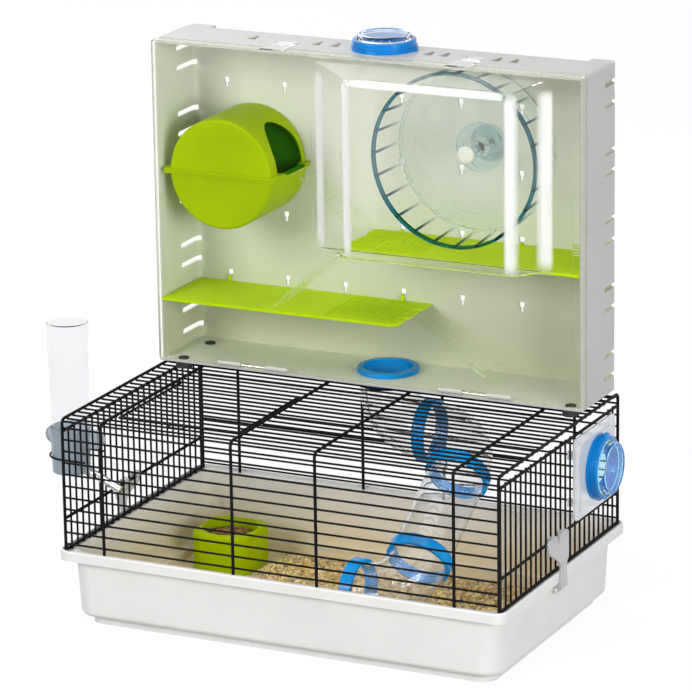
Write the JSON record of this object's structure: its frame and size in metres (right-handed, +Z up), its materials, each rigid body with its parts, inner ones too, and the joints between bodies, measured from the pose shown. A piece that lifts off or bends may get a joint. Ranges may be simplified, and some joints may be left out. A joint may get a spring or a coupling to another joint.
{
  "type": "rodent cage",
  "caption": "Two-storey cage for small rodents: wire enclosure on a deep tray, with a clear-fronted play case above that holds a wheel and nest, joined by a tube.",
  "frame": {"origin": "centre of the tray's flat underside", "axes": "+X to the right of the front, +Y to the back, +Z up"},
  "size_m": [0.5206, 0.294, 0.5422],
  "materials": {
    "tray_plastic": "semi-gloss, very pale grey",
    "bedding": "loose shavings, matt",
    "black_wire": "smooth black coating",
    "clip_plastic": "milky, slightly see-through",
    "case_white": "semi-gloss white",
    "clear_plastic": "clear, glossy",
    "lime_plastic": "semi-gloss lime green",
    "blue_plastic": "semi-gloss bright blue, slightly see-through",
    "wheel_clear": "clear with a faint blue-green tint",
    "pale_blue_plastic": "milky pale blue",
    "steel": "polished",
    "foot_rubber": "matt black",
    "food": "dry mixed pellets"
  },
  "bodies": {
    "tray": {"tray": "tray_plastic", "bedding": "bedding"},
    "wire_top": {"front_grille": "black_wire", "back_grille": "black_wire", "roof_grille": "black_wire", "left_end_grille": "black_wire", "right_end_grille": "black_wire", "side_port_plate": "clear_plastic", "side_port_ring": "blue_plastic", "bottle_holder": "pale_blue_plastic", "holder_strap": "black_wire", "drinking_spout": "steel", "upper_elbow": "clear_plastic", "middle_elbow": "clear_plastic", "straight_tube": "clear_plastic", "lower_elbow": "clear_plastic", "upper_coupling": "blue_plastic", "middle_coupling": "blue_plastic", "lower_coupling": "blue_plastic", "mouth_coupling": "blue_plastic"},
    "roof_door": {"roof_door": "black_wire"},
    "left_end_clip": {"left_end_clip": "clip_plastic"},
    "right_end_clip": {"right_end_clip": "clip_plastic"},
    "upper_case": {"rear_shell": "case_white", "case_feet": "foot_rubber", "cover_hinge_pins": "steel", "latch_pins": "steel", "floor_port_ring": "blue_plastic", "top_port_ring": "blue_plastic", "left_shelf": "lime_plastic", "right_shelf": "lime_plastic", "house_base": "lime_plastic", "house_ramp": "clear_plastic", "middle_ramp": "clear_plastic", "lower_ramp": "clear_plastic", "wheel_bracket": "pale_blue_plastic", "bracket_screw": "steel", "wheel_axle": "pale_blue_plastic"},
    "front_cover": {"front_cover": "clear_plastic"},
    "left_cover_latch": {"left_cover_latch": "clear_plastic"},
    "right_cover_latch": {"right_cover_latch": "clear_plastic"},
    "top_port_cap": {"top_port_cap": "clear_plastic"},
    "side_port_cap": {"side_port_cap": "clear_plastic"},
    "house_roof": {"house_roof": "lime_plastic"},
    "wheel": {"wheel_drum": "wheel_clear", "wheel_back": "wheel_clear", "wheel_hub_cap": "case_white"},
    "water_bottle": {"water_bottle": "clear_plastic"},
    "spout_ball": {"spout_ball": "steel"},
    "food_bowl": {"food_bowl": "lime_plastic", "food_mix": "food"}
  },
  "joints": [
    {"name": "wire_top_lift", "type": "slide", "parent": "tray", "child": "wire_top", "axis": [0, 0, 1], "range_m": [0, 0.15]},
    {"name": "left_clip_swing", "type": "hinge", "parent": "tray", "child": "left_end_clip", "pos_m": [-0.226, -0.012, 0.058], "axis": [0, -1, 0], "range_deg": [0, 100]},
    {"name": "right_clip_swing", "type": "hinge", "parent": "tray", "child": "right_end_clip", "pos_m": [0.226, -0.012, 0.058], "axis": [0, 1, 0], "range_deg": [0, 100]},
    {"name": "roof_door_hinge", "type": "hinge", "parent": "wire_top", "child": "roof_door", "pos_m": [-0.1125, 0.00566, 0.20165], "axis": [1, 0, 0], "range_deg": [-100, 0]},
    {"name": "case_lift", "type": "slide", "parent": "wire_top", "child": "upper_case", "axis": [0, 0, 1], "range_m": [0, 0.1]},
    {"name": "cover_hinge", "type": "hinge", "parent": "upper_case", "child": "front_cover", "pos_m": [0.001, 0.054, 0.214], "axis": [1, 0, 0], "range_deg": [0, 70]},
    {"name": "left_latch_swing", "type": "hinge", "parent": "upper_case", "child": "left_cover_latch", "pos_m": [-0.094, 0.086, 0.52505], "axis": [-1, 0, 0], "range_deg": [0, 100]},
    {"name": "right_latch_swing", "type": "hinge", "parent": "upper_case", "child": "right_cover_latch", "pos_m": [0.098, 0.086, 0.52505], "axis": [-1, 0, 0], "range_deg": [0, 100]},
    {"name": "top_cap_pull", "type": "slide", "parent": "upper_case", "child": "top_port_cap", "axis": [0, 0, 1], "range_m": [0, 0.03]},
    {"name": "side_cap_pull", "type": "slide", "parent": "wire_top", "child": "side_port_cap", "axis": [1, 0, 0], "range_m": [0, 0.03]},
    {"name": "house_roof_lift", "type": "slide", "parent": "upper_case", "child": "house_roof", "axis": [0, 0, 1], "range_m": [0, 0.06]},
    {"name": "wheel_spin", "type": "hinge", "parent": "upper_case", "child": "wheel", "pos_m": [0.093, 0.095, 0.4374], "axis": [0, 1, 0], "continuous": true},
    {"name": "bottle_lift", "type": "slide", "parent": "wire_top", "child": "water_bottle", "axis": [0, 0, 1], "range_m": [0, 0.06]},
    {"name": "spout_ball_push", "type": "slide", "parent": "wire_top", "child": "spout_ball", "axis": [-0.9146, 0, 0.4044], "range_m": [0, 0.001]},
    {"name": "bowl_lift", "type": "slide", "parent": "tray", "child": "food_bowl", "axis": [0, 0, 1], "range_m": [0, 0.06]}
  ]
}
